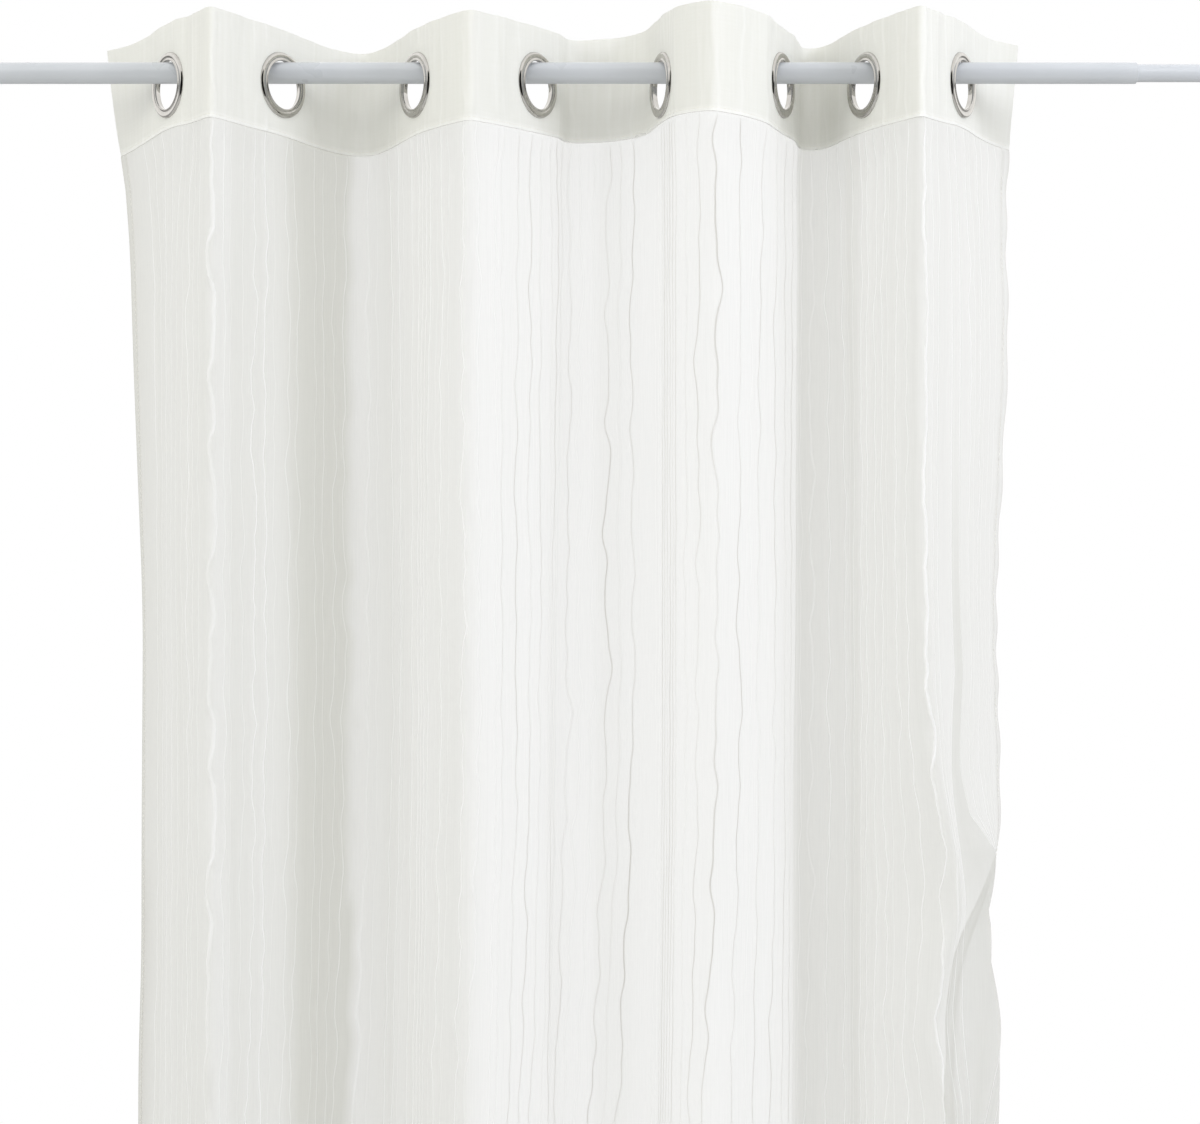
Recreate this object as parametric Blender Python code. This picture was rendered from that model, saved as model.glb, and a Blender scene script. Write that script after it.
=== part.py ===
"""Eyelet curtain: one width of crinkled voile hanging in folds from a telescopic rod.

Metres. X runs along the rod to the right, Y runs away from the room, Z is up.
The origin is on the rod's axis, at the middle of the rod.
"""
import math
from collections import namedtuple

import bmesh
import bpy
import numpy as np
from mathutils import Matrix, Vector

# The cloth as it is cut
CLOTH_WIDTH = 1.400
CLOTH_LENGTH = 2.400
EYELET_PITCH = CLOTH_WIDTH / 8
HEADING_HEIGHT = 0.090
HEADING_THICKNESS = 0.0020
PANEL_THICKNESS = 0.0012
HEM_THICKNESS = 0.0022
BOTTOM_HEM = 0.050
SEAM_GAP = 0.0004
RIB_HEIGHT = 0.0005

# The eyelets
EYELET_DROP = 0.0104
EYELET_THROAT = 0.0200
EYELET_BARREL = 0.0220
EYELET_RADIUS = 0.0278
EYELET_HALF_DEPTH = 0.0033
EYELET_SIDES = 24
FIT_GAP = 0.0003
CLOTH_HOLE = EYELET_BARREL + FIT_GAP

# The rod
OUTER_RADIUS = 0.0090
OUTER_BORE = 0.0081
LIP_BORE = 0.0078
OUTER_LEFT, OUTER_RIGHT = -0.594, 0.456
INNER_RADIUS = 0.0075
INNER_BORE = 0.0067
INNER_LEFT, INNER_RIGHT = -0.366, 0.594
CAP_THICKNESS = 0.0057
PLUG_LENGTH = 0.014
ROD_SIDES = 24

# How the cloth crosses the rod at each eyelet: its place along the rod, its angle to the rod
# in degrees, and the height of the heading's top edge there
Eyelet = namedtuple("Eyelet", "x angle top")
EYELETS = [
    Eyelet(x=-0.3664, angle=52, top=0.0438),
    Eyelet(x=-0.2703, angle=57, top=0.0371),
    Eyelet(x=-0.1564, angle=59, top=0.0382),
    Eyelet(x=-0.0539, angle=57, top=0.0393),
    Eyelet(x=0.0527, angle=74, top=0.0488),
    Eyelet(x=0.1544, angle=66, top=0.0384),
    Eyelet(x=0.2254, angle=68, top=0.0407),
    Eyelet(x=0.3074, angle=59, top=0.0446),
]

# The fold between each two eyelets: the place of its crest at the seam and how far that has
# moved at the hem, how round the crest is, and the top edge's height. Folds come forward and
# go back by turns, the first one forward.
Fold = namedtuple("Fold", "x lean roundness top")
FOLDS = [
    Fold(x=-0.3178, lean=0.002, roundness=0.005, top=0.0372),
    Fold(x=-0.2092, lean=-0.006, roundness=0.014, top=0.0303),
    Fold(x=-0.1065, lean=0.004, roundness=0.007, top=0.0350),
    Fold(x=-0.0088, lean=-0.005, roundness=0.030, top=0.0422),
    Fold(x=0.0926, lean=-0.003, roundness=0.008, top=0.0437),
    Fold(x=0.1872, lean=0.005, roundness=0.016, top=0.0393),
    Fold(x=0.2613, lean=-0.002, roundness=0.005, top=0.0365),
]
LEFT_END_TOP, RIGHT_END_TOP = 0.0315, 0.0377

# How the folds change with the distance below the seam: the half length of the flat stretch at
# each eyelet, how much rounder the crests are, and the angle, shift and turn of the two end
# flaps. The right flap curls inwards low down.
Level = namedtuple("Level", "drop flat ease left_angle left_turn right_shift right_angle right_turn")
LEVELS = [
    Level(0.00, 0.030, 1.0, 52, 20, 0.000, 59, -24),
    Level(0.06, 0.022, 1.0, 58, 6, 0.003, 60, -8),
    Level(0.16, 0.014, 1.2, 60, 6, 0.004, 60, -12),
    Level(0.40, 0.010, 1.4, 62, -4, 0.001, 60, 0),
    Level(0.60, 0.010, 1.4, 62, -2, 0.004, 59, 8),
    Level(0.66, 0.010, 1.4, 62, -2, 0.009, 57, 40),
    Level(0.72, 0.010, 1.5, 62, -2, 0.016, 53, 106),
    Level(0.79, 0.010, 1.5, 61, 0, 0.018, 51, 136),
    Level(0.87, 0.010, 1.5, 61, 0, 0.018, 52, 96),
    Level(1.20, 0.010, 1.6, 60, 0, 0.010, 56, 40),
    Level(1.65, 0.010, 1.8, 59, 6, 0.004, 58, 20),
    Level(2.31, 0.010, 1.9, 58, 10, 0.004, 58, 14),
]

CURVE_STEPS = 24
CREST_REACH = 0.35
COLUMNS_PER_HALF = 8
HEADING_COLUMNS = 7

Material = namedtuple("Material", "name colour metallic roughness")
VOILE = Material("ivory_voile", (0.83, 0.81, 0.76), 0.0, 0.85)
BAND = Material("heading_band", (0.88, 0.87, 0.83), 0.0, 0.80)
NICKEL = Material("polished_nickel", (0.72, 0.71, 0.69), 1.0, 0.15)
ENAMEL = Material("white_enamel", (0.78, 0.80, 0.82), 0.0, 0.35)
PLASTIC = Material("white_plastic", (0.80, 0.81, 0.82), 0.0, 0.45)


def clear_scene():
    for item in list(bpy.data.objects):
        bpy.data.objects.remove(item, do_unlink=True)


def finish(spec):
    """The Principled material of that colour, metallic value and roughness."""
    material = bpy.data.materials.get(spec.name)
    if material is None:
        material = bpy.data.materials.new(spec.name)
        material.use_nodes = True
        shader = material.node_tree.nodes["Principled BSDF"]
        shader.inputs["Base Color"].default_value = (*spec.colour, 1.0)
        shader.inputs["Metallic"].default_value = spec.metallic
        shader.inputs["Roughness"].default_value = spec.roughness
    return material


def add_object(name, mesh, spec, smooth_angle=None):
    """Put the mesh in the scene under that name, with its faces pointing out."""
    shell = bmesh.new()
    shell.from_mesh(mesh)
    bmesh.ops.recalc_face_normals(shell, faces=shell.faces)
    shell.to_mesh(mesh)
    shell.free()
    mesh.materials.append(finish(spec))
    if smooth_angle is not None:
        mesh.shade_smooth()
        mesh.set_sharp_from_angle(angle=math.radians(smooth_angle))
    item = bpy.data.objects.new(name, mesh)
    bpy.context.scene.collection.objects.link(item)
    return item


def length(path):
    return float(np.linalg.norm(np.diff(path, axis=0), axis=1).sum())


def bezier(start, start_handle, end_handle, end):
    t = np.linspace(0, 1, CURVE_STEPS + 1)[:, None]
    near = (1 - t) ** 3 * start + 3 * (1 - t) ** 2 * t * start_handle
    return near + 3 * (1 - t) * t ** 2 * end_handle + t ** 3 * end


def spaced(path, fractions):
    """The points at those fractions of the path's length."""
    run = np.concatenate([[0.0], np.cumsum(np.linalg.norm(np.diff(path, axis=0), axis=1))])
    at = np.asarray(fractions) * run[-1]
    return np.column_stack([np.interp(at, run, path[:, 0]), np.interp(at, run, path[:, 1])])


def level_at(drop):
    """The row of LEVELS at that distance below the seam, worked out between its neighbours."""
    drops = [level.drop for level in LEVELS]
    return Level(*(np.interp(drop, drops, [level[i] for level in LEVELS]) for i in range(len(LEVELS[0]))))


def crossings(level):
    """Where the cloth crosses the rod's line, and its direction there, seen from above."""
    rows = []
    for i, eyelet in enumerate(EYELETS):
        angle, shift = eyelet.angle, 0.0
        if i == 0:
            angle = level.left_angle
        if i == len(EYELETS) - 1:
            angle, shift = level.right_angle, level.right_shift
        side = 1 if i % 2 else -1
        direction = np.array([math.cos(math.radians(angle)), side * math.sin(math.radians(angle))])
        rows.append((np.array([eyelet.x + shift, 0.0]), direction))
    return rows


def fold_halves(start, start_way, end, end_way, crest, roundness):
    """The curved runs from one flat stretch to the crest, and from the crest to the next."""
    along = np.array([roundness, 0.0])
    reach_in = CREST_REACH * np.linalg.norm(crest - start)
    reach_out = CREST_REACH * np.linalg.norm(end - crest)
    rise = bezier(start, start + start_way * reach_in, crest - along, crest)
    fall = bezier(crest, crest + along, end - end_way * reach_out, end)
    return rise, fall


def solve_fold(index, start, start_way, end, end_way, cloth, level):
    """The fold whose crest is just deep enough to use up the cloth between its eyelets."""
    fold = FOLDS[index]
    way = 1 if index % 2 else -1
    x = fold.x + fold.lean * level.drop / CLOTH_LENGTH
    shallow, deep = 0.0, cloth
    for _ in range(40):
        depth = (shallow + deep) / 2
        crest = np.array([x, way * depth])
        rise, fall = fold_halves(start, start_way, end, end_way, crest, fold.roundness * level.ease)
        if length(rise) + length(fall) < cloth:
            shallow = depth
        else:
            deep = depth
    return rise, fall


def flap(start, way, run, turn):
    """An arc of that length which starts along way and turns by that many degrees."""
    heading = math.atan2(way[1], way[0])
    turned = heading + math.radians(turn) * (np.arange(CURVE_STEPS) + 0.5) / CURVE_STEPS
    steps = run / CURVE_STEPS * np.column_stack([np.cos(turned), np.sin(turned)])
    return np.vstack([start, start + np.cumsum(steps, axis=0)])


def plan(drop):
    """The cloth's line seen from above, as 16 half folds, each from a key point to the next.

    The key points are the left edge, then eyelet, crest, eyelet, ..., eyelet, right edge.
    """
    level = level_at(drop)
    flat = level.flat
    rows = crossings(level)
    free = EYELET_PITCH / 2 - flat
    centre, way = rows[0]
    left = flap(centre - flat * way, -way, free, level.left_turn)
    halves = [np.vstack([left[::-1], centre])]
    for i in range(len(FOLDS)):
        (here, here_way), (there, there_way) = rows[i], rows[i + 1]
        start, end = here + flat * here_way, there - flat * there_way
        rise, fall = solve_fold(i, start, here_way, end, there_way, EYELET_PITCH - 2 * flat, level)
        halves.append(np.vstack([here, rise]))
        halves.append(np.vstack([fall, there]))
    centre, way = rows[-1]
    right = flap(centre + flat * way, way, free, level.right_turn)
    halves.append(np.vstack([centre, right]))
    return halves


def top_heights():
    """The height of the heading's top edge at each key point, from the left edge on."""
    heights = [LEFT_END_TOP]
    for i, eyelet in enumerate(EYELETS):
        heights.append(eyelet.top)
        if i < len(FOLDS):
            heights.append(FOLDS[i].top)
    return heights + [RIGHT_END_TOP]


def normals(line):
    """At each point of the line, the direction across it, long enough to keep walls even."""
    ways = np.diff(line, axis=0)
    ways /= np.linalg.norm(ways, axis=1)[:, None]
    before = np.vstack([ways[:1], ways])
    after = np.vstack([ways, ways[-1:]])
    mean = before + after
    mean /= np.linalg.norm(mean, axis=1)[:, None]
    stretch = 1 / np.maximum((mean * before).sum(axis=1), 0.5)
    return np.column_stack([mean[:, 1], -mean[:, 0]]) * stretch[:, None]


def sheet_mesh(name, lines, heights, thickness, ribs):
    """A closed sheet through rows of points, each row a line seen from above with its heights."""
    rows, columns = heights.shape
    points = []
    for side in (0.5, -0.5):
        for r in range(rows):
            across = normals(lines[r])
            offset = (side * thickness[r] + ribs[r])[:, None] * across
            points.extend(np.column_stack([lines[r] + offset, heights[r]]).tolist())
    back = rows * columns

    def at(r, c):
        return r * columns + c

    faces = []
    for r in range(rows - 1):
        for c in range(columns - 1):
            quad = [at(r, c), at(r, c + 1), at(r + 1, c + 1), at(r + 1, c)]
            faces.append(quad)
            faces.append([i + back for i in reversed(quad)])
    for c in range(columns - 1):
        for r in (0, rows - 1):
            faces.append([at(r, c), at(r, c + 1), at(r, c + 1) + back, at(r, c) + back])
    for r in range(rows - 1):
        for c in (0, columns - 1):
            faces.append([at(r, c), at(r + 1, c), at(r + 1, c) + back, at(r, c) + back])
    mesh = bpy.data.meshes.new(name)
    mesh.from_pydata(points, [], faces)
    return mesh


def heading_columns():
    """The heading's points seen from above and its top edge's heights there.

    Each half fold has one flat step at its eyelet and the rest of its columns on the curve.
    """
    tops = top_heights()
    line, height = [], []
    for i, half in enumerate(plan(0.0)):
        share = LEVELS[0].flat / length(half)
        curve = np.linspace(share, 1, HEADING_COLUMNS)
        fractions = np.concatenate([[0.0], curve])
        if i % 2 == 0:
            fractions = 1 - fractions[::-1]
        first = 0 if i == 0 else 1
        line.append(spaced(half, fractions)[first:])
        height.append(np.interp(fractions, [0, 1], [tops[i], tops[i + 1]])[first:])
    return np.vstack(line), np.concatenate(height)


def hole_cutter(number, centre, way):
    """The round hole in the heading at one eyelet."""
    depth = 8 * HEADING_THICKNESS
    cutter = bmesh.new()
    bmesh.ops.create_cone(cutter, cap_ends=True, segments=EYELET_SIDES, radius1=CLOTH_HOLE,
                          radius2=CLOTH_HOLE, depth=depth)
    mesh = bpy.data.meshes.new(f"hole_{number}")
    cutter.to_mesh(mesh)
    cutter.free()
    item = add_object(f"hole_{number}", mesh, BAND)
    item.matrix_world = eyelet_frame(centre, way)
    item.hide_render = True
    item.display_type = "WIRE"
    return item


def eyelet_frame(centre, way):
    """The frame of an eyelet: its Z across the cloth, its X straight up."""
    across = Vector((way[1], -way[0], 0.0))
    up = Vector((0.0, 0.0, 1.0))
    turned = Matrix((up, across.cross(up), across)).transposed()
    return Matrix.Translation((centre[0], centre[1], -EYELET_DROP)) @ turned.to_4x4()


def build_heading():
    line, tops = heading_columns()
    heights = np.vstack([tops, tops - HEADING_HEIGHT + SEAM_GAP])
    thickness = np.full(heights.shape, HEADING_THICKNESS)
    mesh = sheet_mesh("heading", [line, line], heights, thickness, np.zeros(heights.shape))
    heading = add_object("heading", mesh, BAND, smooth_angle=30)
    for number, (centre, way) in enumerate(crossings(LEVELS[0]), start=1):
        cut = heading.modifiers.new(f"hole_{number}", "BOOLEAN")
        cut.operation = "DIFFERENCE"
        cut.solver = "EXACT"
        cut.object = hole_cutter(number, centre, way)


def panel_drops():
    """How far below the seam each row of the panel is, down to the bottom hem."""
    length_below = CLOTH_LENGTH - HEADING_HEIGHT
    hem_top = length_below - BOTTOM_HEM
    folded = [level.drop for level in LEVELS[:-1]]
    return folded + [hem_top - 0.004, hem_top, length_below]


def column_fractions(half):
    """Where the panel's columns stand along one half fold, a little unevenly."""
    steps = np.arange(COLUMNS_PER_HALF + 1)
    uneven = 0.28 * np.sin(2.3 * steps + 1.7 * half)
    uneven[[0, -1]] = 0
    return (steps + uneven) / COLUMNS_PER_HALF


def build_panel():
    """The voile: a ribbed sheet whose alternate columns stand proud as its crinkles."""
    tops = top_heights()
    drops = panel_drops()
    lines, heights = [], []
    for drop in drops:
        line, height = [], []
        for i, half in enumerate(plan(drop)):
            fractions = column_fractions(i)
            first = 0 if i == 0 else 1
            line.append(spaced(half, fractions)[first:])
            height.append(np.interp(fractions, [0, 1], [tops[i], tops[i + 1]])[first:])
        lines.append(np.vstack(line))
        heights.append(np.concatenate(height) - HEADING_HEIGHT - drop)
    heights = np.array(heights)
    rows, columns = heights.shape
    column = np.arange(columns)
    rib = RIB_HEIGHT * np.where(column % 2, 1, -1) * (0.75 + 0.25 * np.sin(1.9 * column))
    rib[[0, 1, -2, -1]] = 0
    swell = np.where((np.arange(rows) == 0) | (np.arange(rows) >= rows - 3), 0.0, 1.0)
    ribs = swell[:, None] * rib[None, :]
    thickness = np.full(heights.shape, PANEL_THICKNESS)
    thickness[:, [0, 1, -2, -1]] = HEM_THICKNESS
    thickness[-2:, :] = HEM_THICKNESS
    mesh = sheet_mesh("panel", lines, heights, thickness, ribs)
    add_object("panel", mesh, VOILE, smooth_angle=60)


def turned_mesh(name, profile, sides):
    """A closed profile of (radius, along) points turned once round the Z axis."""
    angles = 2 * math.pi * np.arange(sides) / sides
    points = [(r * math.cos(a), r * math.sin(a), z) for a in angles for r, z in profile]
    count = len(profile)
    faces = []
    for i in range(sides):
        here, there = i * count, (i + 1) % sides * count
        for j in range(count):
            k = (j + 1) % count
            faces.append([here + j, there + j, there + k, here + k])
    mesh = bpy.data.meshes.new(name)
    mesh.from_pydata(points, [], faces)
    return mesh


def eyelet_profile():
    """Half a rolled flange on each face of the cloth, joined by the barrel through its hole."""
    groove = HEADING_THICKNESS / 2 + FIT_GAP
    half = [
        (EYELET_THROAT, 0.48 * EYELET_HALF_DEPTH),
        (EYELET_THROAT + 0.0018, EYELET_HALF_DEPTH),
        (EYELET_RADIUS - 0.0028, 0.97 * EYELET_HALF_DEPTH),
        (EYELET_RADIUS, groove),
        (EYELET_BARREL, groove),
    ]
    return half + [(r, -z) for r, z in reversed(half)]


def build_eyelets():
    for number, (centre, way) in enumerate(crossings(LEVELS[0]), start=1):
        mesh = turned_mesh(f"eyelet_{number}", eyelet_profile(), EYELET_SIDES)
        eyelet = add_object(f"eyelet_{number}", mesh, NICKEL, smooth_angle=50)
        eyelet.matrix_world = eyelet_frame(centre, way)


def along_rod(item, x=0.0):
    """Lay a turned piece along the rod: its own Z runs to the right from that place."""
    item.matrix_world = Matrix.Translation((x, 0, 0)) @ Matrix.Rotation(math.pi / 2, 4, "Y")


def build_rod():
    """Two tubes, the thin one running out of the wide one's rolled lip."""
    lip = 0.0026
    outer = [
        (OUTER_BORE, OUTER_LEFT),
        (OUTER_RADIUS, OUTER_LEFT),
        (OUTER_RADIUS, OUTER_RIGHT - 0.0012),
        (OUTER_RADIUS - 0.0006, OUTER_RIGHT),
        (LIP_BORE, OUTER_RIGHT - 0.0003),
        (LIP_BORE, OUTER_RIGHT - lip),
        (OUTER_BORE, OUTER_RIGHT - lip - 0.0006),
    ]
    inner = [
        (INNER_BORE, INNER_LEFT),
        (INNER_RADIUS, INNER_LEFT),
        (INNER_RADIUS, INNER_RIGHT),
        (INNER_BORE, INNER_RIGHT),
    ]
    for name, profile in (("rod_outer", outer), ("rod_inner", inner)):
        along_rod(add_object(name, turned_mesh(name, profile, ROD_SIDES), ENAMEL, smooth_angle=40))


def cap_mesh(name, plug_radius):
    """A flat disc with a rounded rim and a plug, its outer face at the end of its Z axis."""
    profile = [
        (plug_radius, -PLUG_LENGTH),
        (plug_radius, 0.0),
        (OUTER_RADIUS, 0.0),
        (OUTER_RADIUS, CAP_THICKNESS - 0.0012),
        (OUTER_RADIUS - 0.0012, CAP_THICKNESS),
    ]
    cap = bmesh.new()
    rings = []
    for radius, z in profile:
        angles = [2 * math.pi * i / ROD_SIDES for i in range(ROD_SIDES)]
        rings.append([cap.verts.new((radius * math.cos(a), radius * math.sin(a), z)) for a in angles])
    for low, high in zip(rings, rings[1:]):
        for i in range(ROD_SIDES):
            j = (i + 1) % ROD_SIDES
            cap.faces.new((low[i], low[j], high[j], high[i]))
    cap.faces.new(rings[0])
    cap.faces.new(rings[-1])
    mesh = bpy.data.meshes.new(name)
    cap.to_mesh(mesh)
    cap.free()
    return mesh


def build_caps():
    """The caps that close the rod's two ends, each plugged into its tube."""
    left = add_object("rod_cap_left", cap_mesh("rod_cap_left", OUTER_BORE - FIT_GAP), PLASTIC, smooth_angle=40)
    left.matrix_world = (Matrix.Translation((OUTER_LEFT - FIT_GAP, 0, 0))
                         @ Matrix.Rotation(-math.pi / 2, 4, "Y"))
    right = add_object("rod_cap_right", cap_mesh("rod_cap_right", INNER_BORE - FIT_GAP), PLASTIC, smooth_angle=40)
    along_rod(right, INNER_RIGHT + FIT_GAP)


def main():
    clear_scene()
    build_rod()
    build_caps()
    build_eyelets()
    build_heading()
    build_panel()


main()
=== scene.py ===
import math

import bpy
import numpy as np
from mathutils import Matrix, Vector


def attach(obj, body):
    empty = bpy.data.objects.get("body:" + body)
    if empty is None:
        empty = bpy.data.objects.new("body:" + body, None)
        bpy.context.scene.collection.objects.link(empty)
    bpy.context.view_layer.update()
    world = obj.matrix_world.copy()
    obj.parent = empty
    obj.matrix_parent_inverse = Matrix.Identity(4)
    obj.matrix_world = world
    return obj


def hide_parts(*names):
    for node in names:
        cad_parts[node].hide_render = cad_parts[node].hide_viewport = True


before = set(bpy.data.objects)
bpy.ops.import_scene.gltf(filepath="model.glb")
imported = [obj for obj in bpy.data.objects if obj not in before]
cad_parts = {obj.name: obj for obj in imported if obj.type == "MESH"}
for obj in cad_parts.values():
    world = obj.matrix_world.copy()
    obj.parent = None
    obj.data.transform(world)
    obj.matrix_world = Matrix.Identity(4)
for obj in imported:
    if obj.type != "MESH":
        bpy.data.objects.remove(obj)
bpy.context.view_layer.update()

print("the packed frame is loaded")

# Metres. X runs along the rod, Y away from the room, Z up, and the rod's axis is the X axis.
# The camera looks level, from 1.8 m in front of the rod and 0.4 m below it.
view = {
    "distance": 1.81,          # from the lens to the rod's axis
    "below": 0.4156,           # the lens is this far under the rod
    "lens": 63.87,             # mm on a 36 mm wide sensor
}

studio = {
    "floorBelow": 2.44,        # the floor, just clear of the bottom hem
    "floorRadius": 3.2,
    "backdrop": 1.0,           # how bright the empty white set is
    # what the cloth sees all round, from straight down to straight up
    "surround": [(0.00, 0.90), (0.40, 0.78), (0.50, 0.75), (0.60, 0.81), (1.00, 0.92)],
    # what the metal sees: the same set with a dark line at the horizon
    "mirrored": [(0.00, 0.26), (0.41, 0.44), (0.46, 0.20), (0.50, 0.10), (0.54, 0.26), (0.59, 1.00),
                 (1.00, 0.85)],
    "surroundTint": (1.0, 1.0, 0.995),
    "mirroredTint": (1.0, 0.99, 0.975),
    "darkSide": (0.05, -0.998, 0.03),     # and, round the camera, the unlit end of the room
    "darkEdge": (0.76, 0.82),             # the cosines between which it begins
    "darkLevels": (1.35, 0.02),           # how bright the mirrored set is outside it and in it
    "lamps": [
        dict(name="key", place=(7.5, -4.2, 3.84), size=(2.8, 2.8), power=122.0, colour="e9edff"),
        dict(name="fill", place=(-2.4, -1.9, 0.8), size=(1.4, 1.4), power=18, colour="fffff6"),
        dict(name="top", place=(-0.1, -1.7, 1.25), size=(2.6, 1.4), power=9, colour="ffffff"),
        dict(name="near", place=(1.15, -0.80, 0.40), size=(0.5, 0.5), power=4.5, colour="f6f8ff"),
    ],
}

# How the cloth hangs. The tables are the cloth seen from above: where it crosses the rod, the folds
# between the crossings, how far the last crest is pushed, and how the rest changes with the drop
# below the heading's seam.
cloth = {
    "width": 1.400,
    "length": 2.400,
    "headingHeight": 0.090,
    "eyeletPitch": 0.175,
    "crestReach": 0.35,        # how far a flank runs straight before it turns to the crest
    "softening": 0.045,        # the tables' corners are rounded over this much cloth
    "curveSteps": 28,
    "leftTop": 0.0315,         # the top edge's height at the two side hems
    "rightTop": 0.0377,
    "eyelets": [
        dict(x=-0.3664, angle=52, top=0.0438),
        dict(x=-0.2703, angle=57, top=0.0371),
        dict(x=-0.1564, angle=59, top=0.0382),
        dict(x=-0.0539, angle=57, top=0.0393),
        dict(x=0.0527, angle=74, top=0.0488),
        dict(x=0.1544, angle=66, top=0.0384),
        dict(x=0.2254, angle=68, top=0.0407),
        dict(x=0.3074, angle=59, top=0.0446),
    ],
    "folds": [
        dict(x=-0.3178, lean=0.002, roundness=0.005, top=0.0372),
        dict(x=-0.2092, lean=-0.006, roundness=0.014, top=0.0303),
        dict(x=-0.1065, lean=0.004, roundness=0.007, top=0.0350),
        dict(x=-0.0088, lean=-0.005, roundness=0.030, top=0.0422),
        dict(x=0.0926, lean=-0.003, roundness=0.008, top=0.0437),
        dict(x=0.1872, lean=0.005, roundness=0.016, top=0.0393),
        dict(x=0.2613, lean=-0.002, roundness=0.005, top=0.0365),
    ],
    # by drop, how far the last fold's crest is pushed towards the right hem
    "lastCrest": [(0.30, 0.000), (0.46, 0.004), (0.54, 0.013), (0.585, 0.024), (0.62, 0.031),
                  (0.65, 0.033), (0.69, 0.020), (0.745, 0.008), (0.78, 0.018), (0.815, 0.030),
                  (0.90, 0.022), (1.10, 0.012), (1.60, 0.004), (2.31, 0.000)],
    "levelColumns": ("drop", "flat", "ease", "leftAngle", "leftTurn", "rightShift", "rightAngle",
                     "rightTurn"),
    "levels": [
        (-0.09, 0.030, 1.0, 52, 35, 0.000, 59, -42),
        (0.00, 0.030, 1.0, 52, 4, 0.000, 59, -20),
        (0.06, 0.022, 1.0, 58, 6, 0.003, 60, -8),
        (0.16, 0.014, 1.2, 60, 6, 0.004, 60, -12),
        (0.40, 0.010, 1.4, 62, -4, -0.001, 60, 0),
        (0.60, 0.010, 1.4, 62, -2, 0.007, 59, 6),
        (0.66, 0.010, 1.4, 62, -2, 0.022, 57, 48),
        (0.72, 0.010, 1.5, 62, -2, 0.028, 54, 146),
        (0.79, 0.010, 1.5, 61, 0, 0.025, 52, 176),
        (0.87, 0.010, 1.5, 61, 0, 0.024, 52, 160),
        (1.20, 0.010, 1.6, 60, 0, 0.012, 56, 60),
        (1.65, 0.010, 1.8, 59, 6, 0.004, 58, 20),
        (2.31, 0.010, 1.9, 58, 10, 0.004, 58, 14),
    ],
}


def linear(code):
    # an sRGB hex colour as linear values: each channel to the power 2.4 above the toe
    parts = [int(code[i:i + 2], 16) / 255 for i in (0, 2, 4)]
    return [p / 12.92 if p <= 0.04045 else ((p + 0.055) / 1.055) ** 2.4 for p in parts]


def addNode(tree, kind, inputs=None, **settings):
    # one node with its settings, its input values and its links
    made = tree.nodes.new(kind)
    for name, value in settings.items():
        setattr(made, name, value)
    for socket, value in (inputs or {}).items():
        if isinstance(value, bpy.types.NodeSocket):
            tree.links.new(value, made.inputs[socket])
        else:
            made.inputs[socket].default_value = value
    return made


def newMaterial(name):
    material = bpy.data.materials.new(name)
    material.use_nodes = True
    material.node_tree.nodes.clear()
    return material, material.node_tree


def unit(vectors):
    # each vector over its own length
    return vectors / np.maximum(np.linalg.norm(vectors, axis=-1, keepdims=True), 1e-9)


def smoothStep(low, high, value):
    # 0 below low, 1 above high, and three squares less two cubes of the share between
    share = np.clip((value - low) / (high - low), 0, 1)
    return share * share * (3 - 2 * share)


def window(value, upFrom, upTo, downFrom, downTo):
    # 0, then 1, then 0 again: one smooth step times what a later one leaves
    return smoothStep(upFrom, upTo, value) * (1 - smoothStep(downFrom, downTo, value))


# the cloth seen from above

def levelValue(name, drops):
    # a column of the levels table at each drop, averaged over a little cloth to round its corners
    table = np.array(cloth["levels"])
    values = table[:, cloth["levelColumns"].index(name)]
    reach = np.clip(drops, 0, cloth["softening"])
    steps = np.linspace(-1, 1, 9)
    return np.mean([np.interp(drops + reach * step, table[:, 0], values) for step in steps], axis=0)


def crestPush(drops):
    # how far the last fold's crest is pushed at each drop, averaged over 3 cm
    known = np.array(cloth["lastCrest"])
    steps = np.linspace(-0.015, 0.015, 5)
    return np.mean([np.interp(drops + step, known[:, 0], known[:, 1]) for step in steps], axis=0)


def bezierRows(a, b, c, d):
    # one cubic Bezier curve a row: the four corners weighted by the powers of t and 1 - t
    t = np.linspace(0, 1, cloth["curveSteps"] + 1)[None, :, None]
    a, b, c, d = (corner[:, None, :] for corner in (a, b, c, d))
    return (1 - t) ** 3 * a + 3 * (1 - t) ** 2 * t * b + 3 * (1 - t) * t ** 2 * c + t ** 3 * d


def flapRows(start, way, run, turn):
    # an arc a row: equal steps whose direction turns evenly from the start's to the last one's
    steps = cloth["curveSteps"]
    share = (np.arange(steps) + 0.5) / steps
    angle = np.arctan2(way[:, 1], way[:, 0])[:, None] + np.radians(turn)[:, None] * share
    step = (run / steps)[:, None, None] * np.stack([np.cos(angle), np.sin(angle)], axis=2)
    gone = np.concatenate([np.zeros_like(step[:, :1]), np.cumsum(step, axis=1)], axis=1)
    return start[:, None, :] + gone


def rowLengths(paths):
    return np.linalg.norm(np.diff(paths, axis=1), axis=2).sum(axis=1)


def crossingRows(number, drops):
    # where the cloth crosses the rod's line at one eyelet, and its direction there
    eyelet = cloth["eyelets"][number]
    angle, shift = np.full_like(drops, eyelet["angle"]), np.zeros_like(drops)
    if number == 0:
        angle = levelValue("leftAngle", drops)
    if number == len(cloth["eyelets"]) - 1:
        angle, shift = levelValue("rightAngle", drops), levelValue("rightShift", drops)
    side = 1 if number % 2 else -1
    turned = np.radians(angle)
    return (np.column_stack([eyelet["x"] + shift, 0 * drops]),
            np.column_stack([np.cos(turned), side * np.sin(turned)]))


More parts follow.
